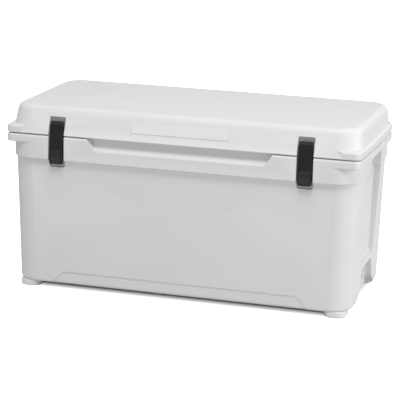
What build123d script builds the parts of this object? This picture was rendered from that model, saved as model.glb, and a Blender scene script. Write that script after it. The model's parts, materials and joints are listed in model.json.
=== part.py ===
from build123d import *
import math
import os

# A rotationally moulded cooler chest, millimetres. X runs along the length, -Y is the front, Z is up.
# The origin is on the ground, at the middle of the footprint.

# ---- Overall places
FRONT_Y = -231.0            # front face of the rim and of the lid's lip
REAR_Y = 216.0              # rear face of the rim and of the lid's lip
MID_Y = (FRONT_Y + REAR_Y) / 2
RIM_HALF_Y = (REAR_Y - FRONT_Y) / 2
LIP_HALF_X = 466.5          # half-length of the flange and lip at their corners
LIP_BOW = 6.0               # how far their ends bow out at mid-depth
TUB_BOTTOM_Z = 15.4         # underside of the tub, on top of the feet
TUB_TOP_Z = 412.0           # top of the tub
LID_BOTTOM_Z = 414.8        # underside of the closed lid
LID_TOP_Z = 485.6
SKIN = 4.5                  # moulded wall
FOAM_GAP = 0.3              # between the foam and its skin
OVER = 30.0                 # how far a cutter runs past the face it opens
THROUGH = 1.0               # how far a bore runs past the faces it passes through
RUNNING = 0.05              # radial clearance of a turning fit
CLOSE = 0.02                # radial clearance of a fixed fit

# ---- Tub
WALL_TOP_HALF = (459.0, 213.4)      # half-length and half-depth of the wall under the rim
WALL_BOTTOM_HALF = (450.0, 206.4)
WALL_CORNER_R = 62.0
WALL_BOTTOM_R = 7.0
RIM_HALF_X = 463.0
RIM_BOTTOM_Z = 348.0
RIM_TOP_Z = 402.0           # the collar ends inside the flange
RIM_CORNER_R = 69.0
RIM_EDGE_R = 4.0
COVE_Z = 334.0              # where the hollow cove under the rim leaves the wall
COVE_STEP = 3.0             # flat underside left outside the cove
COVE_STEPS = 5              # facets that make up its curve
FLANGE_BOTTOM_Z = 390.3
FLANGE_EDGE_R = 3.0
LUG_R = 17.0                # small corners of the flange and lip at the front
REAR_LUG_R = 40.0
LIP_EDGE_R = 5.5
LIP_BOTTOM_EDGE_R = 1.5

# ---- Ice compartment
CAVITY_TOP_HALF = (392.0, 157.0)
CAVITY_FLOOR_HALF = (385.0, 150.0)
CAVITY_FLOOR_Z = 72.0
CAVITY_CORNER_R = 36.0
CAVITY_FLOOR_R = 22.0
CAVITY_MOUTH_R = 5.0

# ---- Front face
SCOOP_BOTTOM_Z = 379.5
SCOOP_HALF_BOTTOM = 223.0
SCOOP_HALF_TOP = 246.0
SCOOP_DEPTH = 22.0
SCOOP_LIP_R = 4.0           # rounded front edge of the hollow
SCOOP_CORNER_R = 16.0
SCOOP_BELLY = (6.8, 9.0)    # middle of the dished face: in front of its back, above its lip
PANEL_TOP_Z = 48.5
PANEL_HALF_TOP = 313.0
PANEL_HALF_BOTTOM = 346.0
PANEL_DEPTH = 1.4

# ---- Latches
LATCH_X = 328.5
LATCH_W = 37.0
POCKET_W = 43.0
POCKET_R = 7.0
TUB_POCKET_Y = -213.0       # floor of the pocket in the tub
TUB_POCKET_BOTTOM_Z = 330.0
LID_POCKET_Y = -206.0       # floor of the pocket in the lid
LID_POCKET_TOP_Z = 461.0
LATCH_PIN_Y = -217.5
LATCH_PIN_Z = 441.0
LATCH_PIN_R = 2.5
LATCH_PIN_L = 54.0
PIN_CHAMFER = 0.6
STRAP_LEAN = 5.0            # degrees, foot of the strap outward
STRAP_UP = 9.7              # strap above the pin
STRAP_DOWN = 101.5          # strap below the pin
STRAP_OUT = 9.0             # strap in front of the pin
STRAP_IN = 5.0              # strap behind the pin
STRAP_CORNER_R = 5.0
STRAP_TIP_R = 2.0
RIB_COUNT = 7
RIB_PITCH = 4.8
RIB_H = 2.4
RIB_W = 25.0
RIB_PROUD = 1.2
RIB_EDGE_R = 1.0
RIB_FIRST = 6.0             # lowest rib above the strap's tip
PAD_RECESS = 0.9            # shallow panel sunk in the strap's face
PAD_W = 27.0
PAD_L = 82.0
PAD_R = 3.0
PAD_TOP = 8.0               # its top edge below the strap's top
NOSE_W = 30.0
NOSE_BOTTOM_Z = 351.0
NOSE_TOP_Z = 363.8
NOSE_BACK_Y = -205.0
NOSE_FALL = 5.0             # how far the nose's underside falls towards the strap
NOSE_ROOT = (8.0, 4.0)      # how far in front of the pin its lower and upper edges start
KEEPER_SLOT_W = 34.0
KEEPER_SLOT_Z = (347.5, 364.2)
KEEPER_SLOT_Y = -202.5

# ---- Lid
LID_BODY_Z = 417.0          # where the lid's sloping faces start
LID_BASE_HALF_X = 465.0
LID_TOP_HALF_X = 457.0
LID_BASE_R = 64.0
LID_TOP_R = 58.0
LID_FRONT_SLOPE = 26.0      # how far the front leans back by the top
LID_REAR_SLOPE = 8.0
LID_EDGE_R = 18.0
LIP_TOP_Z = 434.5
LIP_TOP_EDGE_R = 6.0
LUG_LEDGE_X = (425.0, 395.0)    # where the lug's ledge fades out, at the lip's face and LEDGE_RUN behind
LEDGE_RUN = 10.0
PLUG_CLEAR = 9.0            # lid's inner panel to the compartment wall
PLUG_BOTTOM_Z = 402.0
PLUG_EDGE_R = 6.0
GASKET_INNER = 18.0         # from the compartment mouth to the gasket
GASKET_W = 12.0
GROOVE_CLEAR = 0.3
GROOVE_TOP_Z = 420.0
GASKET_GAP = 0.05
GASKET_EDGE_R = 1.5
BADGE_W = 262.0
BADGE_H = 27.0
BADGE_Z = 448.0             # middle of the blank name plate
BADGE_PROUD = 0.9
BADGE_R = 9.0

# ---- Hinge
HINGE_X = 300.0
AXIS_Y = 221.0
AXIS_Z = 405.0
BARREL_R = 9.5
HINGE_PIN_R = 4.0
HINGE_PIN_L = 106.0
PIN_END_PLAY = 0.2
LID_KNUCKLE_L = 56.0
TUB_KNUCKLE_L = 26.0
KNUCKLE_GAP = 1.2
BUSH_R = 5.5
BUSH_L = 27.0
BUSH_FLANGE_R = 8.0
BUSH_FLANGE_T = 1.0
RELIEF_R = 13.2
WEB_FRONT = 11.5            # web of the lid's knuckle: in front of the axis, behind it and above it
WEB_REAR = 7.5
WEB_H = 17.0
WEB_RISE = 2.0              # its rear edge starts this far above the axis
LID_STOP_ANGLE = 105.0
STOP_REACH = (9.0, 14.0)    # stop face measured along the open lid's rear face
STOP_GAP = 0.1
HEEL_DROP = 5.0             # heel's outer corner below the axis
HEEL_FOOT = (4.0, 22.0)     # heel's foot, behind and below the axis
HEEL_ROOT = 32.0            # where the heel meets the rim, below the axis
ROOT_DEPTH = 4.0            # how far a knuckle's root runs into the rim
CAP_T = 2.0
CAP_R = 4.8

# ---- End handles and recesses
HANDLE_HALF_W = 76.0
HANDLE_BOTTOM_Z = 318.0
HANDLE_TOP_Z = 393.0
HANDLE_X = 441.0
GRIP_TOP_Z = 401.0          # top of the hollow behind the handle's lip
GRIP_LIP_X = 458.0
CHANNEL_X = 442.0
CHANNEL_TOP_Z = 344.0
CHANNEL_BOTTOM_Z = 112.0
CHANNEL_HALF_TOP = 96.0
CHANNEL_HALF_BOTTOM = 66.0
CHANNEL_RAMP = 6.0
DRAIN_POCKET_TOP = (56.0, 97.0)     # half-width and height of the drain pocket's top
DRAIN_POCKET_WAIST = (74.0, 46.0)   # where its sides start to flare
DRAIN_POCKET_FOOT = 110.0           # half-width where it opens through the tub's underside
DRAIN_POCKET_R = 24.0
RECESS_R = 8.0

# ---- Drain
DRAIN_Y = MID_Y
DRAIN_Z = 72.0
DRAIN_BORE_R = 11.0
DRAIN_TUBE_R = 14.0
DRAIN_WALL_X = 430.0        # floor of the drain pocket
DRAIN_INNER_X = 366.0       # inner end of the fitting
SUMP_X = 352.0
SUMP_HALF_W = 30.0
SUMP_FLOOR_Z = 54.0
SUMP_WALL_X = 386.0
WASHER_T = 1.5
WASHER_R = 20.0
FITTING_FLANGE_R = 21.0
FITTING_FLANGE_T = 4.0
FITTING_EDGE_R = 1.5
NUT_R = 18.5
NUT_T = 8.0
PLUG_HEAD_R = 18.0
PLUG_HEAD_T = 9.0
PLUG_STEM_L = 12.0
PLUG_EDGE_FILLET = 2.0
PLUG_GRIPS = 12
PLUG_GRIP_R = 2.2
BAR_HALF = (3.0, 12.0)      # half-width and half-length of the bar across the plug's head
BAR_T = 4.0
BAR_R = 2.5
ORING_T = 2.0
ORING_CLEAR = 0.1

# ---- Feet and fasteners
FOOT_X = 411.5
FOOT_HALF = (28.5, 36.5)
FOOT_FRONT_Y = -175.0       # centres of the front and rear feet
FOOT_REAR_Y = 160.0
FOOT_R = 25.0
FOOT_EDGE_R = 4.0
FOOT_GAP = 0.05
SCREW_SPACING = 26.0
SCREW_R = 2.2
SCREW_HEAD_R = 5.0
SCREW_HEAD_T = 3.0
SCREW_HEAD_EDGE_R = 1.2
SCREW_SINK = 5.0            # underside of the head above the ground
SINK_R = 5.5                # round recess the head sits in
SCREW_SLOT = (4.0, 0.6)     # half-length and half-width of the screwdriver slot
SCREW_SLOT_DEPTH = 1.2
SCREW_TIP_Z = 34.0
SCREW_BOSS_R = 7.0
FOAM_PLUG_R = 11.0
FOAM_PLUG_HEAD_R = 15.0
FOAM_PLUG_HEAD_T = 1.6
TUB_PLUG_X = 180.0
LID_PLUG_X = 200.0
SIDES = (-1, 1)


# ---- Shapes shared by several pieces
def at(x, y, z):
    return Location((x, y, z))


def box(low, high):
    size = [b - a for a, b in zip(low, high)]
    middle = [(a + b) / 2 for a, b in zip(low, high)]
    return at(*middle) * Box(*size)


def tapered_block(low_half, low_z, high_half, high_z, low_r, high_r, y=MID_Y, high_y=None):
    """A block with rounded upright corners, lofted from its lower outline to its upper one."""
    high_y = y if high_y is None else high_y
    low = at(0, y, low_z) * RectangleRounded(2 * low_half[0], 2 * low_half[1], low_r)
    high = at(0, high_y, high_z) * RectangleRounded(2 * high_half[0], 2 * high_half[1], high_r)
    return loft([low, high], ruled=True)


def cylinder_x(x0, x1, y, z, radius):
    """A cylinder along X."""
    return Location(((x0 + x1) / 2, y, z), (0, 90, 0)) * Cylinder(radius, abs(x1 - x0))


def cylinder_z(x, y, z0, z1, radius):
    return at(x, y, (z0 + z1) / 2) * Cylinder(radius, z1 - z0)


def prism_x(points, x0, x1):
    """Side outline given as (y, z) points, extruded along X."""
    outline = Plane.YZ.offset(x0) * make_face(Polyline(*points, close=True))
    return extrude(outline, x1 - x0)


def prism_y(outline, y0, y1):
    """An outline drawn in (x, z), extruded along Y."""
    plane = Plane(origin=(0, y0, 0), x_dir=(1, 0, 0), z_dir=(0, -1, 0))
    return extrude(plane * outline, y0 - y1)


def mirror_x(shape):
    return mirror(shape, Plane.YZ)


def both_ends(shape):
    return [shape, mirror_x(shape)]


def edges_at_z(shape, z):
    return shape.edges().filter_by(lambda e: abs(e.bounding_box().min.Z - z) < 1e-3
                                   and abs(e.bounding_box().max.Z - z) < 1e-3)


def union(parts):
    total = parts[0]
    for part in parts[1:]:
        total = total + part
    return total


def cut(shape, cutters):
    for cutter in cutters:
        shape = shape - cutter
    return shape


# ---- Outline of the flange and the lid's lip
def lip_plate(z0, z1, inset=0.0):
    """A plate with bowed ends, small corners at the front and larger ones at the rear."""
    half_x = LIP_HALF_X - inset
    front = FRONT_Y + inset
    rear = REAR_Y - inset
    corners = [(-half_x, front), (half_x, front), (half_x, rear), (-half_x, rear)]
    outline = Curve() + [
        Line(corners[0], corners[1]),
        ThreePointArc(corners[1], (half_x + LIP_BOW, MID_Y), corners[2]),
        Line(corners[2], corners[3]),
        ThreePointArc(corners[3], (-half_x - LIP_BOW, MID_Y), corners[0]),
    ]
    face = make_face(outline)
    by_depth = face.vertices().sort_by(Axis.Y)
    face = fillet(by_depth[:2], LUG_R - inset)
    by_depth = face.vertices().sort_by(Axis.Y)
    face = fillet(by_depth[-2:], REAR_LUG_R - inset)
    return extrude(at(0, 0, z0) * face, z1 - z0)


# ---- Tub
def tub_wall(inset, z0, z1):
    """The tapered wall of the tub, drawn in by inset."""
    low = [h - inset for h in WALL_BOTTOM_HALF]
    high = [h - inset for h in WALL_TOP_HALF]
    radius = WALL_CORNER_R - inset
    return tapered_block(low, z0, high, z1, radius, radius)


def collar(inset, z0, z1):
    half = (RIM_HALF_X - inset, RIM_HALF_Y - inset)
    return tapered_block(half, z0, half, z1, RIM_CORNER_R - inset, RIM_CORNER_R - inset)


def cavity(grow):
    """The ice compartment, made larger by grow; it runs up past the tub's top."""
    rise = TUB_TOP_Z - CAVITY_FLOOR_Z
    slope = [(a - b) / rise for a, b in zip(CAVITY_TOP_HALF, CAVITY_FLOOR_HALF)]
    low = [h + grow for h in CAVITY_FLOOR_HALF]
    high = [h + grow + s * OVER for h, s in zip(CAVITY_TOP_HALF, slope)]
    radius = CAVITY_CORNER_R + grow
    block = tapered_block(low, CAVITY_FLOOR_Z - grow, high, TUB_TOP_Z + OVER, radius, radius)
    return fillet(edges_at_z(block, CAVITY_FLOOR_Z - grow), CAVITY_FLOOR_R)


def sump(grow):
    """The low trough in the compartment's floor that leads to the drain."""
    low = (SUMP_X - grow, DRAIN_Y - SUMP_HALF_W - grow, SUMP_FLOOR_Z - grow)
    high = (SUMP_WALL_X + grow, DRAIN_Y + SUMP_HALF_W + grow, CAVITY_FLOOR_Z + OVER + grow)
    trough = box(low, high)
    return fillet(trough.edges().filter_by(Axis.Z), RECESS_R)


def tub_latch_pocket(side, grow):
    """Upright pocket for the latch strap, through the rim and into the wall below it."""
    width = POCKET_W + 2 * grow
    bottom = TUB_POCKET_BOTTOM_Z - grow
    height = TUB_TOP_Z + OVER - bottom
    outline = at(side * LATCH_X, bottom + height / 2, 0) * RectangleRounded(width, height, POCKET_R)
    return prism_y(outline, FRONT_Y - OVER, TUB_POCKET_Y + grow)


def keeper_slot(side, grow):
    """The slot whose upper face is the ledge that the strap's nose hooks under."""
    half = KEEPER_SLOT_W / 2 + grow
    low = (side * LATCH_X - half, TUB_POCKET_Y - grow - THROUGH, KEEPER_SLOT_Z[0] - grow)
    high = (side * LATCH_X + half, KEEPER_SLOT_Y + grow, KEEPER_SLOT_Z[1] + grow)
    return box(low, high)


def finger_scoop(grow):
    """The dished hollow along the top of the rim, where the fingers get under the lid."""
    front = FRONT_Y - OVER
    back = FRONT_Y + SCOOP_DEPTH + grow
    foot = SCOOP_BOTTOM_Z - grow
    lip = (FRONT_Y + SCOOP_LIP_R, foot + SCOOP_LIP_R)
    lip_middle = (FRONT_Y + SCOOP_LIP_R * (1 - math.sqrt(0.5)), foot + SCOOP_LIP_R * math.sqrt(0.5))
    belly = (back - SCOOP_BELLY[0], lip[1] + SCOOP_BELLY[1])
    dish_top = TUB_TOP_Z - THROUGH
    top = TUB_TOP_Z + OVER
    profile = Curve() + [
        Line((front, foot), (FRONT_Y, foot)),
        ThreePointArc((FRONT_Y, foot), lip_middle, lip),
        ThreePointArc(lip, belly, (back, dish_top)),
        Line((back, dish_top), (back, top)),
        Line((back, top), (front, top)),
        Line((front, top), (front, foot)),
    ]
    length = SCOOP_HALF_TOP + OVER + grow
    dish = extrude(Plane.YZ.offset(-length) * make_face(profile), 2 * length)
    slope = (SCOOP_HALF_TOP - SCOOP_HALF_BOTTOM) / (TUB_TOP_Z - SCOOP_BOTTOM_Z)
    low_half = SCOOP_HALF_BOTTOM + grow - THROUGH * slope
    high_half = SCOOP_HALF_TOP + grow + OVER * slope
    low_z = foot - THROUGH
    ends = make_face(Polyline((-low_half, low_z), (low_half, low_z), (high_half, top), (-high_half, top),
                              close=True))
    ends = fillet(ends.vertices().group_by(Axis.Y)[0], SCOOP_CORNER_R + grow)
    return dish & prism_y(ends, front - THROUGH, back + THROUGH)


def front_panel(wall):
    """The shallow step along the foot of the front face, which follows the wall."""
    outline = make_face(Polyline((-PANEL_HALF_BOTTOM, TUB_BOTTOM_Z), (PANEL_HALF_BOTTOM, TUB_BOTTOM_Z),
                                 (PANEL_HALF_TOP, PANEL_TOP_Z), (-PANEL_HALF_TOP, PANEL_TOP_Z), close=True))
    inner = tapered_block([h - PANEL_DEPTH for h in WALL_BOTTOM_HALF], TUB_BOTTOM_Z,
                          [h - PANEL_DEPTH for h in WALL_TOP_HALF], TUB_TOP_Z,
                          WALL_CORNER_R, WALL_CORNER_R)
    inner = fillet(edges_at_z(inner, TUB_BOTTOM_Z), WALL_BOTTOM_R)
    return (wall & prism_y(outline, FRONT_Y, MID_Y)) - inner


def end_handle(grow):
    """The finger recess of the right-hand moulded handle, with a lip to grip at its top."""
    half = HANDLE_HALF_W + grow
    low = (HANDLE_X - grow, MID_Y - half, HANDLE_BOTTOM_Z - grow)
    high = (LIP_HALF_X + OVER, MID_Y + half, HANDLE_TOP_Z + grow)
    recess = box(low, high)
    recess = fillet(recess.edges().filter_by(Axis.X), RECESS_R)
    hollow_low = (HANDLE_X - grow, MID_Y - half + RECESS_R, HANDLE_BOTTOM_Z)
    hollow_high = (GRIP_LIP_X + grow, MID_Y + half - RECESS_R, GRIP_TOP_Z + grow)
    return recess + box(hollow_low, hollow_high)


def end_channel(grow):
    """The tapering channel under the handle, with a sloping foot."""
    low_half = CHANNEL_HALF_BOTTOM + grow
    high_half = CHANNEL_HALF_TOP + grow
    bottom = CHANNEL_BOTTOM_Z - grow
    face = make_face(Polyline((MID_Y - low_half, bottom), (MID_Y + low_half, bottom),
                              (MID_Y + high_half, CHANNEL_TOP_Z), (MID_Y - high_half, CHANNEL_TOP_Z),
                              close=True))
    face = fillet(face.vertices(), RECESS_R)
    floor_x = CHANNEL_X - grow
    channel = extrude(Plane.YZ.offset(floor_x) * face, LIP_HALF_X + OVER - floor_x)
    reach = LIP_HALF_X + OVER - CHANNEL_X
    ramp = make_face(Polyline((floor_x, bottom + CHANNEL_RAMP), (floor_x, bottom - OVER),
                              (floor_x + reach, bottom - OVER),
                              (floor_x + CHANNEL_RAMP, bottom), close=True))
    return channel - prism_y(ramp, MID_Y - 2 * high_half, MID_Y + 2 * high_half)


def drain_pocket(grow):
    """The arched pocket round the drain, open through the tub's underside."""
    top_half, top_z = DRAIN_POCKET_TOP
    waist_half, waist_z = DRAIN_POCKET_WAIST
    right = [(DRAIN_POCKET_FOOT, -OVER), (DRAIN_POCKET_FOOT, TUB_BOTTOM_Z), (waist_half, waist_z),
             (top_half, top_z)]
    points = [(MID_Y + y, z) for y, z in right] + [(MID_Y - y, z) for y, z in reversed(right)]
    face = make_face(Polyline(*points, close=True))
    waist = face.vertices().filter_by(lambda v: abs(v.Z) < 1e-6 and abs(v.Y - waist_z) < 1e-3)
    face = fillet(waist, DRAIN_POCKET_R)
    top = face.vertices().filter_by(lambda v: abs(v.Y - top_z) < 1e-3)
    face = fillet(top, RECESS_R)
    if grow > 0:
        face = offset(face, grow)
    floor_x = DRAIN_WALL_X - grow
    return extrude(Plane.YZ.offset(floor_x) * face, LIP_HALF_X + OVER - floor_x)


def tub_recesses(grow):
    """Everything hollowed out of the tub from outside, made larger by grow."""
    cutters = [finger_scoop(grow), drain_pocket(grow)]
    for side in SIDES:
        cutters += [tub_latch_pocket(side, grow), keeper_slot(side, grow)]
    cutters += both_ends(end_handle(grow))
    cutters += both_ends(end_channel(grow))
    return cutters


def foot_centres():
    return [(sx * FOOT_X, y) for sx in SIDES for y in (FOOT_FRONT_Y, FOOT_REAR_Y)]


def screw_centres():
    return [(x, y + s * SCREW_SPACING / 2) for x, y in foot_centres() for s in SIDES]


def tub_core(inset):
    """The space between the tub's two skins, drawn in by inset from every outside face."""
    wall = tub_wall(inset, TUB_BOTTOM_Z + inset, COVE_Z)
    wall = fillet(edges_at_z(wall, TUB_BOTTOM_Z + inset), WALL_BOTTOM_R - inset)
    upper = tapered_block([h - inset for h in WALL_TOP_HALF], COVE_Z,
                          [h - inset for h in WALL_TOP_HALF], TUB_TOP_Z - inset,
                          WALL_CORNER_R - inset, WALL_CORNER_R - inset)
    core = wall + upper + collar(inset, RIM_BOTTOM_Z + inset, TUB_TOP_Z - inset)
    core = cut(core, [cavity(inset), sump(inset)] + tub_recesses(inset))
    core = core - cylinder_x(SUMP_X, LIP_HALF_X, DRAIN_Y, DRAIN_Z, DRAIN_TUBE_R + inset)
    for x, y in screw_centres():
        core = core - cylinder_z(x, y, 0, SCREW_TIP_Z + inset, SCREW_BOSS_R + inset - SKIN)
    for side in SIDES:
        half = LID_KNUCKLE_L / 2 + KNUCKLE_GAP + inset
        core = core - cylinder_x(side * HINGE_X - half, side * HINGE_X + half, AXIS_Y, AXIS_Z,
                                 RELIEF_R + inset)
    return core


def tub_knuckle_outline():
    """A round barrel, its web down to the rim and the heel that stops the open lid."""
    angle = math.radians(LID_STOP_ANGLE)
    along = (math.sin(angle), math.cos(angle))
    normal = (-math.cos(angle), math.sin(angle))
    offset = AXIS_Y - REAR_Y - STOP_GAP
    stops = [(AXIS_Y + offset * normal[0] + reach * along[0],
              AXIS_Z + offset * normal[1] + reach * along[1]) for reach in STOP_REACH]
    root_y = REAR_Y - ROOT_DEPTH
    heel = [(AXIS_Y, AXIS_Z), stops[0], stops[1], (stops[1][0], AXIS_Z - HEEL_DROP),
            (AXIS_Y + HEEL_FOOT[0], AXIS_Z - HEEL_FOOT[1]), (root_y, AXIS_Z - HEEL_ROOT), (root_y, AXIS_Z)]
    barrel = at(AXIS_Y, AXIS_Z, 0) * Circle(BARREL_R)
    return barrel + make_face(Polyline(*heel, close=True))


def tub_knuckles():
    """Two knuckles at each hinge, one either side of the lid's knuckle."""
    knuckles = []
    outline = tub_knuckle_outline()
    first = LID_KNUCKLE_L / 2 + KNUCKLE_GAP
    for side in SIDES:
        for end in SIDES:
            start = side * HINGE_X + (first if end > 0 else -first - TUB_KNUCKLE_L)
            knuckles.append(extrude(Plane.YZ.offset(start) * outline, TUB_KNUCKLE_L))
    return knuckles


def hinge_reliefs():
    """Room in the tub for the lid's knuckle to turn."""
    half = LID_KNUCKLE_L / 2 + KNUCKLE_GAP
    reliefs = []
    for side in SIDES:
        x0 = side * HINGE_X - half
        x1 = side * HINGE_X + half
        reliefs.append(cylinder_x(x0, x1, AXIS_Y, AXIS_Z, RELIEF_R))
        reliefs.append(box((x0, AXIS_Y - RELIEF_R, AXIS_Z), (x1, AXIS_Y + OVER, TUB_TOP_Z + OVER)))
    return reliefs


def hinge_bores(radius, half_length):
    return [cylinder_x(s * HINGE_X - half_length, s * HINGE_X + half_length, AXIS_Y, AXIS_Z, radius)
            for s in SIDES]


def cove():
    """The block whose hollow sides lead from the wall out to the rim's underside."""
    low = (*WALL_TOP_HALF, WALL_CORNER_R)
    high = (RIM_HALF_X - COVE_STEP, RIM_HALF_Y - COVE_STEP, RIM_CORNER_R - COVE_STEP)
    sections = []
    for i in range(COVE_STEPS + 1):
        angle = i / COVE_STEPS * math.pi / 2
        half_x, half_y, radius = [a + (b - a) * (1 - math.cos(angle)) for a, b in zip(low, high)]
        z = COVE_Z + (RIM_BOTTOM_Z - COVE_Z) * math.sin(angle)
        sections.append(at(0, MID_Y, z) * RectangleRounded(2 * half_x, 2 * half_y, radius))
    return loft(sections, ruled=True)


def tub_outside():
    wall = tub_wall(0, TUB_BOTTOM_Z, COVE_Z)
    wall = fillet(edges_at_z(wall, TUB_BOTTOM_Z), WALL_BOTTOM_R)
    wall = wall - front_panel(wall)
    rim = collar(0, RIM_BOTTOM_Z, RIM_TOP_Z)
    rim = fillet(edges_at_z(rim, RIM_BOTTOM_Z), RIM_EDGE_R)
    flange = lip_plate(FLANGE_BOTTOM_Z, TUB_TOP_Z)
    flange = fillet(edges_at_z(flange, FLANGE_BOTTOM_Z), FLANGE_EDGE_R)
    front_top = edges_at_z(flange, TUB_TOP_Z)
    flange = fillet(front_top, LIP_EDGE_R)
    return union([wall, cove(), rim, flange])


def mouth_edges(shape):
    """The edges round the compartment's mouth."""
    half_x, half_y = [h + THROUGH for h in CAVITY_TOP_HALF]
    return edges_at_z(shape, TUB_TOP_Z).filter_by(lambda e: abs(e.center().X) < half_x
                                                  and abs(e.center().Y - MID_Y) < half_y)


def make_tub_shell():
    shell = tub_outside() - cavity(0)
    shell = fillet(mouth_edges(shell), CAVITY_MOUTH_R) - sump(0)
    shell = cut(shell, tub_recesses(0) + hinge_reliefs())
    shell = union([shell] + tub_knuckles())
    shell = shell - tub_core(SKIN)
    pin_half = LID_KNUCKLE_L / 2 + KNUCKLE_GAP + TUB_KNUCKLE_L + THROUGH
    shell = cut(shell, hinge_bores(HINGE_PIN_R + CLOSE, pin_half))
    shell = shell - cylinder_x(SUMP_X, LIP_HALF_X, DRAIN_Y, DRAIN_Z, DRAIN_TUBE_R + 2 * CLOSE)
    for x, y in screw_centres():
        shell = shell - cylinder_z(x, y, 0, SCREW_TIP_Z + THROUGH, SCREW_R + CLOSE)
    for side in SIDES:
        shell = shell - cylinder_z(side * TUB_PLUG_X, MID_Y, 0, TUB_BOTTOM_Z + SKIN + THROUGH,
                                   FOAM_PLUG_R + CLOSE)
    return shell


def make_tub_foam():
    return cut_for_plugs(tub_core(SKIN + FOAM_GAP), TUB_PLUG_X, TUB_BOTTOM_Z)


def cut_for_plugs(foam, plug_x, face_z):
    """Room in the foam for the stems of the plugs in its filling holes."""
    return cut(foam, [cylinder_z(s * plug_x, MID_Y, face_z, face_z + 3 * SKIN, FOAM_PLUG_R + THROUGH)
                      for s in SIDES])


# ---- Lid
def lid_body(inset, z0, edge_r):
    """The lid's sloping upper part, drawn in by inset."""
    front_half = RIM_HALF_Y - inset
    rear_shift = (LID_FRONT_SLOPE - LID_REAR_SLOPE) / 2
    top_half_y = RIM_HALF_Y - (LID_FRONT_SLOPE + LID_REAR_SLOPE) / 2 - inset
    block = tapered_block((LID_BASE_HALF_X - inset, front_half), z0,
                          (LID_TOP_HALF_X - inset, top_half_y), LID_TOP_Z - inset,
                          LID_BASE_R - inset, LID_TOP_R - inset, MID_Y, MID_Y + rear_shift)
    return fillet(edges_at_z(block, LID_TOP_Z - inset), edge_r)


def lid_inner_panel(inset, z1):
    """The part of the lid that drops into the compartment's mouth."""
    half = [h - PLUG_CLEAR - inset for h in CAVITY_TOP_HALF]
    radius = CAVITY_CORNER_R - PLUG_CLEAR - inset
    panel = tapered_block(half, PLUG_BOTTOM_Z + inset, half, z1, radius, radius)
    return fillet(edges_at_z(panel, PLUG_BOTTOM_Z + inset), PLUG_EDGE_R)


def ring(inner, outer, z0, z1):
    """A rounded rectangular ring round the compartment's mouth."""
    blocks = [tapered_block([h + d for h in CAVITY_TOP_HALF], z0, [h + d for h in CAVITY_TOP_HALF], z1,
                            CAVITY_CORNER_R + d, CAVITY_CORNER_R + d) for d in (inner, outer)]
    return blocks[1] - blocks[0]


def lid_latch_pocket(side, grow):
    width = POCKET_W + 2 * grow
    top = LID_POCKET_TOP_Z + grow
    bottom = LID_BOTTOM_Z - OVER
    outline = at(side * LATCH_X, (top + bottom) / 2, 0) * RectangleRounded(width, top - bottom, POCKET_R / 2)
    return prism_y(outline, FRONT_Y - OVER, LID_POCKET_Y + grow)


def latch_pin_bore(side, radius, length):
    return cylinder_x(side * LATCH_X - length / 2, side * LATCH_X + length / 2, LATCH_PIN_Y, LATCH_PIN_Z,
                      radius)


def lid_core(inset):
    """The space between the lid's two skins."""
    bottom = GROOVE_TOP_Z + inset
    core = lid_body(inset, bottom, LID_EDGE_R - inset) + lid_inner_panel(inset, bottom + THROUGH)
    for side in SIDES:
        core = core - lid_latch_pocket(side, inset)
        core = core - latch_pin_bore(side, LATCH_PIN_R + inset, LATCH_PIN_L + 2 * inset)
    return core


def lid_knuckle():
    """One barrel with a web up to the lid's lip."""
    barrel = at(AXIS_Y, AXIS_Z, 0) * Circle(BARREL_R)
    web_front = AXIS_Y - WEB_FRONT
    web_rear = AXIS_Y + WEB_REAR
    web_top = AXIS_Z + WEB_H
    web = make_face(Polyline((web_front, AXIS_Z), (web_rear, AXIS_Z + WEB_RISE), (web_rear, web_top),
                             (web_front, web_top), close=True))
    return extrude(Plane.YZ.offset(-LID_KNUCKLE_L / 2) * (barrel + web), LID_KNUCKLE_L)


def name_plate():
    """A blank low-relief plate on the sloping front."""
    lean = math.degrees(math.atan(LID_FRONT_SLOPE / (LID_TOP_Z - LID_BODY_Z)))
    plane = Plane(Location((0, front_lean_y(BADGE_Z), BADGE_Z), (90 - lean, 0, 0)))
    return extrude(plane * RectangleRounded(BADGE_W, BADGE_H, BADGE_R), BADGE_PROUD, both=True)


def front_lean_y(z):
    """Where the lid's sloping front face stands at height z."""
    return FRONT_Y + (z - LID_BODY_Z) * LID_FRONT_SLOPE / (LID_TOP_Z - LID_BODY_Z)


def lip_front_trim():
    """Takes the lip's ledge off the front between the lugs, so that the front face is one slope."""
    front = FRONT_Y - OVER
    top = LIP_TOP_Z + OVER
    slope = prism_x([(front, LID_BODY_Z), (FRONT_Y, LID_BODY_Z), (front_lean_y(top), top), (front, top)],
                    -LIP_HALF_X, LIP_HALF_X)
    fade = (LUG_LEDGE_X[0] - LUG_LEDGE_X[1]) / LEDGE_RUN
    front_half = LUG_LEDGE_X[0] + fade * OVER
    rear_half = LUG_LEDGE_X[0] - fade * 2 * OVER
    rear = FRONT_Y + 2 * OVER
    plan = make_face(Polyline((-front_half, front), (front_half, front), (rear_half, rear),
                              (-rear_half, rear), close=True))
    return slope & extrude(at(0, 0, LID_BODY_Z) * plan, top - LID_BODY_Z)


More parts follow.
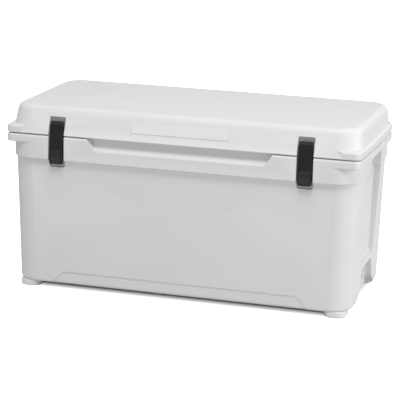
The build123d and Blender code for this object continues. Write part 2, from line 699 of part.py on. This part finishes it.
def make_lid_shell():
    lip = lip_plate(LID_BOTTOM_Z, LIP_TOP_Z)
    lip = fillet(edges_at_z(lip, LIP_TOP_Z), LIP_TOP_EDGE_R)
    low_edges = edges_at_z(lip, LID_BOTTOM_Z)
    lip = fillet(low_edges, LIP_BOTTOM_EDGE_R) - lip_front_trim()
    shell = union([lip, lid_body(0, LID_BODY_Z, LID_EDGE_R), lid_inner_panel(0, LID_BODY_Z)])
    shell = shell + name_plate()
    shell = cut(shell, [lid_latch_pocket(side, 0) for side in SIDES])
    shell = shell - ring(GASKET_INNER - GROOVE_CLEAR, GASKET_INNER + GASKET_W + GROOVE_CLEAR,
                         LID_BOTTOM_Z - THROUGH, GROOVE_TOP_Z)
    for side in SIDES:
        shell = shell + at(side * HINGE_X, 0, 0) * lid_knuckle()
    shell = cut(shell, hinge_bores(BUSH_R + CLOSE, LID_KNUCKLE_L / 2 + THROUGH))
    shell = shell - lid_core(SKIN)
    shell = cut(shell, [latch_pin_bore(side, LATCH_PIN_R + CLOSE, LATCH_PIN_L + THROUGH) for side in SIDES])
    for side in SIDES:
        shell = shell - cylinder_z(side * LID_PLUG_X, MID_Y, PLUG_BOTTOM_Z - THROUGH,
                                   PLUG_BOTTOM_Z + SKIN + THROUGH, FOAM_PLUG_R + CLOSE)
    return shell


def make_lid_foam():
    return cut_for_plugs(lid_core(SKIN + FOAM_GAP), LID_PLUG_X, PLUG_BOTTOM_Z)


def make_lid_gasket():
    """The gasket in its groove, at the height the closed lid squashes it to."""
    gasket = ring(GASKET_INNER, GASKET_INNER + GASKET_W, TUB_TOP_Z + GASKET_GAP, GROOVE_TOP_Z - GASKET_GAP)
    return fillet(edges_at_z(gasket, TUB_TOP_Z + GASKET_GAP), GASKET_EDGE_R)


# ---- Latches
def strap_body():
    """The strap drawn upright, with the pin's axis as its origin."""
    depth = STRAP_OUT + STRAP_IN
    height = STRAP_UP + STRAP_DOWN
    mid = ((STRAP_IN - STRAP_OUT) / 2, (STRAP_UP - STRAP_DOWN) / 2)
    body = at(0, *mid) * Box(LATCH_W, depth, height)
    top = body.edges().filter_by(Axis.X).group_by(Axis.Z)[-1]
    body = fillet(top, STRAP_CORNER_R)
    body = fillet(body.edges().filter_by(Axis.Y), STRAP_CORNER_R)
    low = body.edges().filter_by(Axis.X).group_by(Axis.Z)[0]
    body = fillet(low, STRAP_TIP_R)
    pad = at(0, -STRAP_OUT, STRAP_UP - PAD_TOP - PAD_L / 2) * Box(PAD_W, 2 * PAD_RECESS, PAD_L)
    body = body - fillet(pad.edges().filter_by(Axis.Y), PAD_R)
    for i in range(RIB_COUNT):
        rib = at(0, -STRAP_OUT, RIB_FIRST - STRAP_DOWN + i * RIB_PITCH) * Box(RIB_W, 2 * RIB_PROUD, RIB_H)
        body = body + fillet(rib.edges().filter_by(Axis.X).group_by(Axis.Y)[0], RIB_EDGE_R)
    return body


def make_latch_strap(side):
    """A leaning rubber strap whose nose hooks under the keeper's ledge."""
    body = Location((side * LATCH_X, LATCH_PIN_Y, LATCH_PIN_Z), (-STRAP_LEAN, 0, 0)) * strap_body()
    half = NOSE_W / 2
    nose = prism_x([(LATCH_PIN_Y - NOSE_ROOT[0], NOSE_BOTTOM_Z - NOSE_FALL), (NOSE_BACK_Y, NOSE_BOTTOM_Z),
                    (NOSE_BACK_Y, NOSE_TOP_Z), (LATCH_PIN_Y - NOSE_ROOT[1], NOSE_TOP_Z)],
                   side * LATCH_X - half, side * LATCH_X + half)
    return body + nose - latch_pin_bore(side, LATCH_PIN_R + RUNNING, LATCH_W + 2 * THROUGH)


def make_latch_pin(side):
    pin = latch_pin_bore(side, LATCH_PIN_R, LATCH_PIN_L)
    return chamfer(pin.edges(), PIN_CHAMFER)


# ---- Hinge parts
def make_hinge_pin(side):
    pin = cylinder_x(side * HINGE_X - HINGE_PIN_L / 2, side * HINGE_X + HINGE_PIN_L / 2, AXIS_Y, AXIS_Z,
                     HINGE_PIN_R)
    return chamfer(pin.edges(), PIN_CHAMFER)


def make_hinge_bushes(side):
    """Two flanged sleeves pressed into the lid's knuckle from its ends."""
    bushes = []
    for end in SIDES:
        face = side * HINGE_X + end * LID_KNUCKLE_L / 2
        sleeve = cylinder_x(face, face - end * BUSH_L, AXIS_Y, AXIS_Z, BUSH_R)
        flange = cylinder_x(face, face + end * BUSH_FLANGE_T, AXIS_Y, AXIS_Z, BUSH_FLANGE_R)
        bore = cylinder_x(face - end * LID_KNUCKLE_L, face + end * LID_KNUCKLE_L, AXIS_Y, AXIS_Z,
                          HINGE_PIN_R + RUNNING)
        bushes.append(sleeve + flange - bore)
    return bushes


def make_hinge_pin_caps():
    """Caps in the outer ends of the tub's knuckles."""
    caps = []
    for side in SIDES:
        for end in SIDES:
            face = side * HINGE_X + end * (LID_KNUCKLE_L / 2 + KNUCKLE_GAP + TUB_KNUCKLE_L)
            head = cylinder_x(face, face + end * CAP_T, AXIS_Y, AXIS_Z, CAP_R)
            rim = head.edges().filter_by(GeomType.CIRCLE).sort_by(Axis.X)
            head = fillet(rim[-1] if end > 0 else rim[0], CAP_T / 2)
            tip = side * HINGE_X + end * (HINGE_PIN_L / 2 + PIN_END_PLAY)
            stem = cylinder_x(face, tip, AXIS_Y, AXIS_Z, HINGE_PIN_R)
            caps.append(head + stem)
    return caps


# ---- Drain
def make_drain_fitting():
    flange_x = DRAIN_WALL_X + WASHER_T
    tube = cylinder_x(DRAIN_INNER_X, flange_x + FITTING_FLANGE_T, DRAIN_Y, DRAIN_Z, DRAIN_TUBE_R)
    flange = cylinder_x(flange_x, flange_x + FITTING_FLANGE_T, DRAIN_Y, DRAIN_Z, FITTING_FLANGE_R)
    rim = flange.edges().filter_by(GeomType.CIRCLE).sort_by(Axis.X)[-1]
    bore = cylinder_x(DRAIN_INNER_X - THROUGH, flange_x + FITTING_FLANGE_T + THROUGH, DRAIN_Y, DRAIN_Z,
                      DRAIN_BORE_R)
    return fillet(rim, FITTING_EDGE_R) + tube - bore


def make_drain_fitting_washer():
    outer = cylinder_x(DRAIN_WALL_X, DRAIN_WALL_X + WASHER_T, DRAIN_Y, DRAIN_Z, WASHER_R)
    return outer - cylinder_x(DRAIN_WALL_X - THROUGH, DRAIN_WALL_X + WASHER_T + THROUGH, DRAIN_Y, DRAIN_Z,
                              DRAIN_TUBE_R + 2 * CLOSE)


def make_drain_nut():
    """A hexagonal nut against the compartment's end wall."""
    outline = Plane.YZ.offset(SUMP_WALL_X - NUT_T) * (at(DRAIN_Y, DRAIN_Z, 0) * RegularPolygon(NUT_R, 6))
    nut = extrude(outline, NUT_T)
    return nut - cylinder_x(DRAIN_INNER_X - THROUGH, DRAIN_WALL_X, DRAIN_Y, DRAIN_Z, DRAIN_TUBE_R + CLOSE)


def make_drain_plug():
    """A screw-in plug with a gripped head and a cross bar to turn."""
    base_x = DRAIN_WALL_X + WASHER_T + FITTING_FLANGE_T + ORING_T
    head = cylinder_x(base_x, base_x + PLUG_HEAD_T, DRAIN_Y, DRAIN_Z, PLUG_HEAD_R)
    rim = head.edges().filter_by(GeomType.CIRCLE).sort_by(Axis.X)[-1]
    head = fillet(rim, PLUG_EDGE_FILLET)
    for i in range(PLUG_GRIPS):
        angle = 2 * math.pi * i / PLUG_GRIPS
        y = DRAIN_Y + PLUG_HEAD_R * math.cos(angle)
        z = DRAIN_Z + PLUG_HEAD_R * math.sin(angle)
        head = head - cylinder_x(base_x - THROUGH, base_x + PLUG_HEAD_T + THROUGH, y, z, PLUG_GRIP_R)
    bar_half_y, bar_half_z = BAR_HALF
    bar = box((base_x + PLUG_HEAD_T - THROUGH, DRAIN_Y - bar_half_y, DRAIN_Z - bar_half_z),
              (base_x + PLUG_HEAD_T + BAR_T, DRAIN_Y + bar_half_y, DRAIN_Z + bar_half_z))
    bar = fillet(bar.edges().filter_by(Axis.X), BAR_R)
    stem = cylinder_x(base_x - ORING_T - PLUG_STEM_L, base_x, DRAIN_Y, DRAIN_Z, DRAIN_BORE_R - RUNNING)
    return head + bar + stem


def make_drain_plug_gasket():
    base_x = DRAIN_WALL_X + WASHER_T + FITTING_FLANGE_T
    middle = at(base_x + ORING_T / 2, DRAIN_Y, DRAIN_Z) * Rotation(0, 90, 0)
    return middle * Torus(DRAIN_BORE_R + ORING_CLEAR + ORING_T / 2, ORING_T / 2)


# ---- Feet and fasteners
def make_foot(x, y):
    pad = extrude(at(x, y, 0) * RectangleRounded(2 * FOOT_HALF[0], 2 * FOOT_HALF[1], FOOT_R),
                  TUB_BOTTOM_Z - FOOT_GAP)
    pad = fillet(edges_at_z(pad, 0), FOOT_EDGE_R)
    for side in SIDES:
        screw_y = y + side * SCREW_SPACING / 2
        pad = pad - cylinder_z(x, screw_y, -THROUGH, TUB_BOTTOM_Z + THROUGH, SCREW_R + 2 * RUNNING)
        pad = pad - cylinder_z(x, screw_y, -THROUGH, SCREW_SINK + SCREW_HEAD_T, SINK_R)
    return pad


def make_foot_screws():
    screws = []
    for x, y in screw_centres():
        head = cylinder_z(x, y, SCREW_SINK, SCREW_SINK + SCREW_HEAD_T - CLOSE, SCREW_HEAD_R)
        head = fillet(head.edges().filter_by(GeomType.CIRCLE).sort_by(Axis.Z)[0], SCREW_HEAD_EDGE_R)
        half_x, half_y = SCREW_SLOT
        slot = box((x - half_x, y - half_y, SCREW_SINK - THROUGH),
                   (x + half_x, y + half_y, SCREW_SINK + SCREW_SLOT_DEPTH))
        shank = cylinder_z(x, y, SCREW_SINK + SCREW_HEAD_T / 2, SCREW_TIP_Z, SCREW_R)
        screws.append(head - slot + shank)
    return screws


def foam_plugs(plug_x, face_z):
    """Two push-in caps, each a thin head under the skin and a stem up through it."""
    plugs = []
    for side in SIDES:
        head = cylinder_z(side * plug_x, MID_Y, face_z - FOAM_PLUG_HEAD_T, face_z, FOAM_PLUG_HEAD_R)
        stem = cylinder_z(side * plug_x, MID_Y, face_z, face_z + 2 * SKIN, FOAM_PLUG_R)
        plugs.append(head + stem)
    return plugs


# ---- Every piece by its node's name
def pieces():
    yield "tub_shell", make_tub_shell()
    yield "tub_foam", make_tub_foam()
    yield "tub_foam_plugs", foam_plugs(TUB_PLUG_X, TUB_BOTTOM_Z)
    yield "lid_shell", make_lid_shell()
    yield "lid_foam", make_lid_foam()
    yield "lid_foam_plugs", foam_plugs(LID_PLUG_X, PLUG_BOTTOM_Z)
    yield "lid_gasket", make_lid_gasket()
    for name, side in (("left", -1), ("right", 1)):
        yield name + "_hinge_pin", make_hinge_pin(side)
        yield name + "_hinge_bushes", make_hinge_bushes(side)
        yield name + "_latch_strap", make_latch_strap(side)
        yield name + "_latch_pin", make_latch_pin(side)
    yield "hinge_pin_caps", make_hinge_pin_caps()
    yield "drain_fitting", make_drain_fitting()
    yield "drain_fitting_washer", make_drain_fitting_washer()
    yield "drain_nut", make_drain_nut()
    yield "drain_plug", make_drain_plug()
    yield "drain_plug_gasket", make_drain_plug_gasket()
    for end, y in (("front", FOOT_FRONT_Y), ("rear", FOOT_REAR_Y)):
        for name, side in (("left", -1), ("right", 1)):
            yield end + "_" + name + "_foot", make_foot(side * FOOT_X, y)
    yield "foot_screws", make_foot_screws()


def main():
    os.makedirs("parts", exist_ok=True)
    for name, shape in pieces():
        group = shape if isinstance(shape, list) else [shape]
        solids = [solid for piece in group for solid in piece.solids()]
        print(name, len(solids))
        export_step(Compound(children=solids) if len(solids) > 1 else solids[0], f"parts/{name}.step")


main()
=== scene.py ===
import json
import math

import bpy
from mathutils import Matrix, Vector


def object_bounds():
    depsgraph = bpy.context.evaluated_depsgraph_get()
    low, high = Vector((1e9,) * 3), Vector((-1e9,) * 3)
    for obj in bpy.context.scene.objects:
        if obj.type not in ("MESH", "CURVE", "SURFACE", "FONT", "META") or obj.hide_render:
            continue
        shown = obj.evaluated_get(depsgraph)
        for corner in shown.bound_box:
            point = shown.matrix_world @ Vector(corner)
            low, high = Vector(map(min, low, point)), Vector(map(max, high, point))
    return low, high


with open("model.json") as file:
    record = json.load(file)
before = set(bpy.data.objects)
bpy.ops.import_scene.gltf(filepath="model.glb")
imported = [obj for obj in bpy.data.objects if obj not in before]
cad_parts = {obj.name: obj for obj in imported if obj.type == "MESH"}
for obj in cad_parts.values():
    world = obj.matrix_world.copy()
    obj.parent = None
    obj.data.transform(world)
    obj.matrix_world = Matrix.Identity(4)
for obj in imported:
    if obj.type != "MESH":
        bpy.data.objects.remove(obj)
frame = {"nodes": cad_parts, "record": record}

CAD_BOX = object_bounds()

# ---- Camera, as fitted to the photograph: metres and degrees
CAMERA_AZIMUTH = 16.4
CAMERA_ELEVATION = 13.8
CAMERA_ROLL = 1.3
CAMERA_DISTANCE = 4.765
CAMERA_TARGET = (-0.0066, -0.001, 0.2214)
CAMERA_LENS_MM = 161.0
CAMERA_REACH = 100
SENSOR_MM = 36.0

# ---- Light: places, aims and sizes in metres, power in watts
WHITE = (1, 1, 1)
ROOM_STRENGTH = 0.54        # of the white room, for every ray but the camera's
BACKDROP_STRENGTH = 1.0     # of the same room as the camera sees it
KEY_PLACE = (0.5, -1.65, 3.4)
KEY_AIM = (0, 0, 0.3)
KEY_SIZE = (1.6, 1.2)
KEY_WATTS = 56
RIGHT_PLACE = (3.3, 0.1, 1.0)
RIGHT_AIM = (0, 0, 0.25)
RIGHT_SIZE = (1.4, 1.4)
RIGHT_WATTS = 33

# ---- Floor: metres and linear colours
FLOOR_SIZE = 30
FLOOR_MIDDLE = (0, 6, 0)
FLOOR_ROUGHNESS = 0.9
FLOOR_BOUNCE = (0.64, 0.64, 0.64)
FLOOR_SEEN = (0.93, 0.93, 0.93)
FLOOR_GLOW = 1.0
GLOW_FADE = (-0.07, -0.02)  # the glow starts 70 mm inside the chest's footprint, and is full 20 mm inside it

# ---- Finishes: linear colours
NOISE_SPAN = (0.3, 0.7)     # most of a noise's values lie between these
SOFT_EDGE = 0.0016          # radius that eases the moulded shells' edges, in shading alone
SOFT_EDGE_SAMPLES = 6
WHITE_PE = (0.80, 0.80, 0.795)
WHITE_FOOT = (0.80, 0.80, 0.79)
BLACK_RUBBER = (0.010, 0.010, 0.011)
GASKET_GREY = (0.16, 0.16, 0.165)
STEEL = (0.60, 0.60, 0.58)
NYLON = (0.82, 0.80, 0.72)
FOAM = (0.86, 0.78, 0.55)


# ---- Small helpers for node materials
class Nodes:
    """A material's node tree, with one method for each kind of node used here."""

    def __init__(self, name):
        self.material = bpy.data.materials.new(name)
        self.material.use_nodes = True
        self.tree = self.material.node_tree
        self.shader = self.tree.nodes["Principled BSDF"]
        coordinates = self.tree.nodes.new("ShaderNodeTexCoord")
        self.place = coordinates.outputs["Object"]

    def feed(self, socket, value):
        """Give a socket its value: another node's output, a colour or a number."""
        if hasattr(value, "is_linked"):
            self.tree.links.new(value, socket)
        else:
            socket.default_value = (*value, 1) if isinstance(value, tuple) else value

    def link(self, output, node, socket):
        self.tree.links.new(output, node.inputs[socket])

    def noise(self, scale, detail=2.0, roughness=0.5, stretch=(1, 1, 1)):
        mapping = self.tree.nodes.new("ShaderNodeMapping")
        mapping.inputs["Scale"].default_value = stretch
        self.link(self.place, mapping, "Vector")
        node = self.tree.nodes.new("ShaderNodeTexNoise")
        node.inputs["Scale"].default_value = scale
        node.inputs["Detail"].default_value = detail
        node.inputs["Roughness"].default_value = roughness
        self.link(mapping.outputs[0], node, "Vector")
        return node.outputs["Fac"]

    def ramp(self, value, low, high, low_colour, high_colour):
        node = self.tree.nodes.new("ShaderNodeValToRGB")
        node.color_ramp.elements[0].position = low
        node.color_ramp.elements[1].position = high
        node.color_ramp.elements[0].color = (*low_colour, 1)
        node.color_ramp.elements[1].color = (*high_colour, 1)
        self.link(value, node, "Fac")
        return node.outputs["Color"]

    def tinted(self, value, colour, darkest, lightest, span=NOISE_SPAN):
        """The colour times `darkest` at the start of the value's span, and times `lightest` at its end."""
        return self.ramp(value, *span, shade(colour, darkest), shade(colour, lightest))

    def mapped(self, value, low, high, to_low, to_high):
        node = self.tree.nodes.new("ShaderNodeMapRange")
        node.inputs["From Min"].default_value = low
        node.inputs["From Max"].default_value = high
        node.inputs["To Min"].default_value = to_low
        node.inputs["To Max"].default_value = to_high
        self.link(value, node, "Value")
        return node.outputs["Result"]

    def math(self, operation, *values):
        node = self.tree.nodes.new("ShaderNodeMath")
        node.operation = operation
        for value, socket in zip(values, node.inputs):
            self.feed(socket, value)
        return node.outputs[0]

    def mix(self, factor, a, b):
        """Colour `a` at factor 0 and `b` at 1. A mix node holds a set of sockets for each kind of data."""
        node = self.tree.nodes.new("ShaderNodeMix")
        node.data_type = "RGBA"
        node.blend_type = "MIX"
        factor_in, a_in, b_in = (node.inputs[i] for i in (0, 6, 7))
        for socket, value in ((factor_in, factor), (a_in, a), (b_in, b)):
            self.feed(socket, value)
        colour_out = node.outputs[2]
        return colour_out

    def bump(self, height, strength, distance, below=None):
        node = self.tree.nodes.new("ShaderNodeBump")
        node.inputs["Strength"].default_value = strength
        node.inputs["Distance"].default_value = distance
        self.link(height, node, "Height")
        if below is not None:
            self.link(below, node, "Normal")
        return node.outputs["Normal"]

    def softened(self, radius):
        """The surface's own direction, eased over at its edges."""
        node = self.tree.nodes.new("ShaderNodeBevel")
        node.samples = SOFT_EDGE_SAMPLES
        node.inputs["Radius"].default_value = radius
        return node.outputs["Normal"]

    def edges(self, low, high):
        """0 where the mesh's pointiness is under `low`, 1 where it is over `high`: along outward edges."""
        geometry = self.tree.nodes.new("ShaderNodeNewGeometry")
        return self.mapped(geometry.outputs["Pointiness"], low, high, 0.0, 1.0)

    def done(self, colour, roughness, normal=None, **plain):
        """The finished material. `plain` gives the shader's other sockets by name, with _ for a space."""
        self.feed(self.shader.inputs["Base Color"], colour)
        self.feed(self.shader.inputs["Roughness"], roughness)
        if normal is not None:
            self.link(normal, self.shader, "Normal")
        for socket, value in plain.items():
            self.shader.inputs[socket.replace("_", " ")].default_value = value
        return self.material


def shade(colour, factor):
    return tuple(min(1.0, c * factor) for c in colour)


# ---- Materials
def polyethylene(name, colour):
    """Rotomoulded polyethylene: fine orange peel, faint cloudiness, slow waviness and a painted highlight
    along the edges.
    """
    n = Nodes(name)
    cloud = n.noise(scale=7.0, detail=4.0)
    speck = n.noise(scale=420.0)
    clouded = n.tinted(cloud, colour, 0.975, 1.015)
    speckled = n.mix(0.35, clouded, n.tinted(speck, colour, 0.97, 1.02, span=(0.35, 0.65)))
    # painted highlight: the colour is lighter along the outward edges, where light catches them
    tint = n.mix(n.edges(0.53, 0.60), speckled, shade(colour, 1.06))
    roughness = n.mapped(n.noise(scale=60.0, detail=3.0), *NOISE_SPAN, 0.40, 0.52)
    slow = n.noise(scale=9.0, detail=1.0)
    wave = n.bump(slow, strength=0.25, distance=0.004, below=n.softened(SOFT_EDGE))
    fine = n.noise(scale=520.0, roughness=0.6)
    peel = n.bump(fine, strength=0.22, distance=0.0004, below=wave)
    return n.done(tint, roughness, peel, Specular_IOR_Level=0.42)


def satin_plastic(name, colour):
    """Injection-moulded plastic with a fine spark-eroded grain."""
    n = Nodes(name)
    clouded = n.tinted(n.noise(scale=30.0, detail=3.0), colour, 0.97, 1.02)
    # painted highlight: the colour is lighter along the outward edges, where light catches them
    tint = n.mix(n.edges(0.53, 0.62), clouded, shade(colour, 1.08))
    roughness = n.mapped(n.noise(scale=140.0), *NOISE_SPAN, 0.36, 0.48)
    grain = n.bump(n.noise(scale=1500.0), strength=0.18, distance=0.0002)
    return n.done(tint, roughness, grain)


def rubber(name, colour, grain_scale):
    """Moulded rubber: fine grain, a patchy dusty bloom and a painted highlight along the edges."""
    n = Nodes(name)
    bloom = n.tinted(n.noise(scale=45.0, detail=4.0), colour, 1.0, 1.7, span=(0.35, 0.75))
    # painted highlight: the colour is much lighter along the outward edges and rib edges, where light
    # catches them
    tint = n.mix(n.edges(0.51, 0.57), bloom, shade(colour, 5.0))
    roughness = n.mapped(n.noise(scale=90.0, detail=3.0), *NOISE_SPAN, 0.44, 0.62)
    grain = n.bump(n.noise(scale=grain_scale, detail=3.0, roughness=0.65), strength=0.3, distance=0.0003)
    return n.done(tint, roughness, grain, Specular_IOR_Level=0.3)


def steel(name):
    """Drawn stainless rod, with fine scratches along X."""
    n = Nodes(name)
    streak = n.noise(scale=900.0, detail=3.0, roughness=0.6, stretch=(0.02, 1, 1))
    tint = n.tinted(streak, STEEL, 0.85, 1.1)
    roughness = n.mapped(streak, *NOISE_SPAN, 0.22, 0.38)
    return n.done(tint, roughness, n.bump(streak, strength=0.15, distance=0.0001), Metallic=1.0)


def foam_material(name):
    """Closed-cell foam: cells of about a millimetre and a half."""
    n = Nodes(name)
    cells = n.tree.nodes.new("ShaderNodeTexVoronoi")
    cells.inputs["Scale"].default_value = 700.0
    n.link(n.place, cells, "Vector")
    tint = n.tinted(n.noise(scale=25.0, detail=4.0), FOAM, 0.9, 1.06)
    pits = n.bump(cells.outputs["Distance"], strength=0.5, distance=0.0008)
    return n.done(tint, 0.85, pits)


def assign_materials():
    """Each CAD node takes the material made for its slot in the record."""
    made = {
        "white_polyethylene": polyethylene("white_polyethylene_look", WHITE_PE),
        "foot_plastic": polyethylene("foot_plastic_look", WHITE_FOOT),
        "white_plastic": satin_plastic("white_plastic_look", WHITE_PE),
        "nylon": satin_plastic("nylon_look", NYLON),
        "latch_rubber": rubber("latch_rubber_look", BLACK_RUBBER, grain_scale=1100.0),
        "gasket_rubber": rubber("gasket_rubber_look", GASKET_GREY, grain_scale=900.0),
        "stainless_steel": steel("stainless_steel_look"),
        "foam": foam_material("foam_look"),
    }
    slots = {part["node"]: part["material_slot"] for part in frame["record"]["subparts"]}
    for name, obj in frame["nodes"].items():
        obj.data.materials.clear()
        obj.data.materials.append(made[slots[name]])


# ---- Stage, light and camera
def beyond_footprint(n, point, axis):
    """How far a point of the floor lies beyond the chest's footprint along one axis, negative inside it."""
    low, high = (corner[axis] for corner in CAD_BOX)
    from_middle = n.math("ABSOLUTE", n.math("SUBTRACT", point.outputs[axis], (low + high) / 2))
    return n.math("SUBTRACT", from_middle, (high - low) / 2)


def add_floor():
    """A pale floor: to the camera it glows white except under the chest, and to other rays it is grey."""
    bpy.ops.mesh.primitive_plane_add(size=FLOOR_SIZE, location=FLOOR_MIDDLE)
    floor = bpy.context.object
    floor.name = "floor"
    n = Nodes("pale_floor")
    n.shader.inputs["Roughness"].default_value = FLOOR_ROUGHNESS
    light_path = n.tree.nodes.new("ShaderNodeLightPath")
    seen = light_path.outputs["Is Camera Ray"]
    n.link(n.mix(seen, FLOOR_BOUNCE, FLOOR_SEEN), n.shader, "Base Color")
    geometry = n.tree.nodes.new("ShaderNodeNewGeometry")
    point = n.tree.nodes.new("ShaderNodeSeparateXYZ")
    n.link(geometry.outputs["Position"], point, "Vector")
    # painted light and shade: the floor glows to the camera alone, and the glow fades out under the chest,
    # which paints the shadow there
    beyond = n.math("MAXIMUM", *(beyond_footprint(n, point, axis) for axis in range(2)))
    glow = n.mapped(beyond, *GLOW_FADE, 0.0, FLOOR_GLOW)
    n.feed(n.shader.inputs["Emission Color"], WHITE)
    n.link(n.math("MULTIPLY", glow, seen), n.shader, "Emission Strength")
    floor.data.materials.append(n.material)


def add_area(name, place, aim, size, watts):
    light = bpy.data.lights.new(name, "AREA")
    light.shape = "RECTANGLE"
    light.size, light.size_y = size
    light.energy = watts
    obj = bpy.data.objects.new(name, light)
    obj.location = place
    direction = Vector(aim) - Vector(place)
    obj.rotation_euler = direction.to_track_quat("-Z", "Y").to_euler()
    bpy.context.scene.collection.objects.link(obj)


def add_lights():
    """A white room, a soft box above and in front of the chest, and another off its right-hand end."""
    world = bpy.data.worlds.new("studio")
    world.use_nodes = True
    tree = world.node_tree
    room = tree.nodes["Background"]
    light_path = tree.nodes.new("ShaderNodeLightPath")
    backdrop = tree.nodes.new("ShaderNodeBackground")
    for background, strength in ((room, ROOM_STRENGTH), (backdrop, BACKDROP_STRENGTH)):
        background.inputs["Color"].default_value = (*WHITE, 1)
        background.inputs["Strength"].default_value = strength
    mix = tree.nodes.new("ShaderNodeMixShader")
    tree.links.new(light_path.outputs["Is Camera Ray"], mix.inputs[0])
    tree.links.new(room.outputs[0], mix.inputs[1])
    tree.links.new(backdrop.outputs[0], mix.inputs[2])
    tree.links.new(mix.outputs[0], tree.nodes["World Output"].inputs["Surface"])
    bpy.context.scene.world = world
    add_area("key", KEY_PLACE, KEY_AIM, KEY_SIZE, KEY_WATTS)
    add_area("right", RIGHT_PLACE, RIGHT_AIM, RIGHT_SIZE, RIGHT_WATTS)


def add_camera():
    """The camera looks at its target from the fitted azimuth and elevation, rolled about its own view."""
    azimuth, elevation, roll = (math.radians(a) for a in (CAMERA_AZIMUTH, CAMERA_ELEVATION, CAMERA_ROLL))
    back = Vector((math.sin(azimuth) * math.cos(elevation), -math.cos(azimuth) * math.cos(elevation),
                   math.sin(elevation)))
    right = Vector((math.cos(azimuth), math.sin(azimuth), 0))
    up = back.cross(right)
    turned_right = right * math.cos(roll) + up * math.sin(roll)
    turned_up = up * math.cos(roll) - right * math.sin(roll)
    camera = bpy.data.objects.new("camera", bpy.data.cameras.new("camera"))
    camera.data.lens = CAMERA_LENS_MM
    camera.data.sensor_width = SENSOR_MM
    camera.data.clip_end = CAMERA_REACH
    axes = Matrix((turned_right, turned_up, back)).transposed().to_4x4()
    camera.matrix_world = Matrix.Translation(Vector(CAMERA_TARGET) + back * CAMERA_DISTANCE) @ axes
    bpy.context.scene.collection.objects.link(camera)
    bpy.context.scene.camera = camera


assign_materials()
add_floor()
add_lights()
add_camera()
bpy.context.scene.view_settings.view_transform = "Standard"
